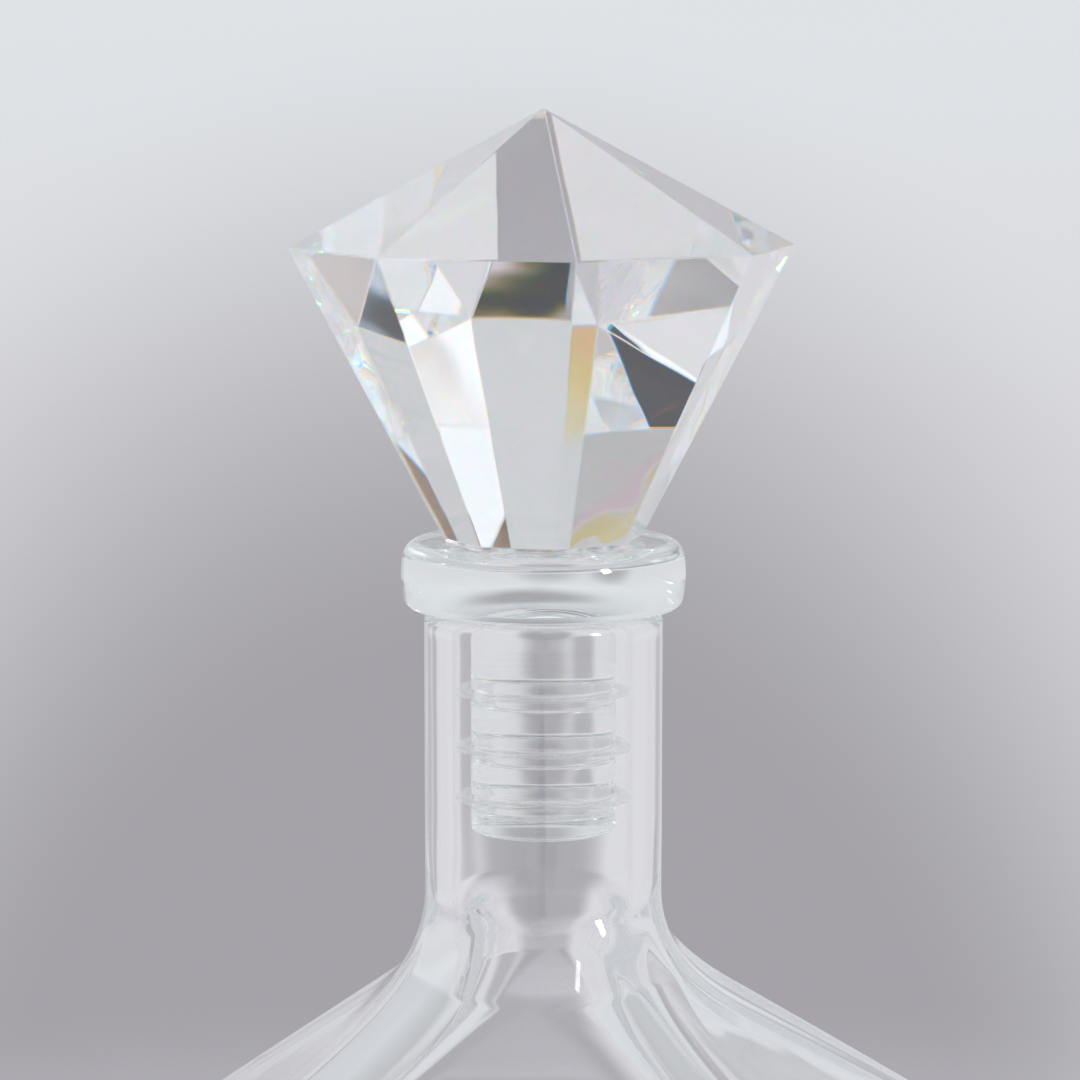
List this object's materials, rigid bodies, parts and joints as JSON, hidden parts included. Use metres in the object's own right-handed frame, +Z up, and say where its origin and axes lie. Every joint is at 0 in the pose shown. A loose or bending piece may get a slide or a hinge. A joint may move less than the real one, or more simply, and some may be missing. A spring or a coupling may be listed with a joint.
{
  "type": "wine decanter",
  "caption": "Square clear glass decanter with sloping shoulders and a lift-out stopper that carries a large faceted crystal head.",
  "frame": {"origin": "centre of the base, on the surface that the decanter stands on", "axes": "+Z up along the neck, X and Y square to the walls of the body"},
  "size_m": [0.12, 0.12, 0.2208],
  "materials": {
    "body_glass": "polished, thick, mould-blown",
    "shank_glass": "polished, pressed",
    "head_crystal": "cut and polished crystal",
    "clear_adhesive": "clear cured film with trapped dust",
    "clear_silicone": "soft, clear, slightly frosted"
  },
  "bodies": {
    "decanter": {"decanter_body": "body_glass"},
    "seals": {"upper_seal": "clear_silicone", "middle_seal": "clear_silicone", "lower_seal": "clear_silicone"},
    "stopper": {"stopper_shank": "shank_glass", "stopper_bond": "clear_adhesive", "stopper_head": "head_crystal"}
  },
  "joints": [
    {"name": "stopper_lift", "type": "slide", "parent": "decanter", "child": "seals", "axis": [0, 0, 1], "range_m": [0, 0.05]},
    {"name": "stopper_twist", "type": "hinge", "parent": "seals", "child": "stopper", "pos_m": [0, 0, 0.16], "axis": [0, 0, 1], "continuous": true}
  ]
}
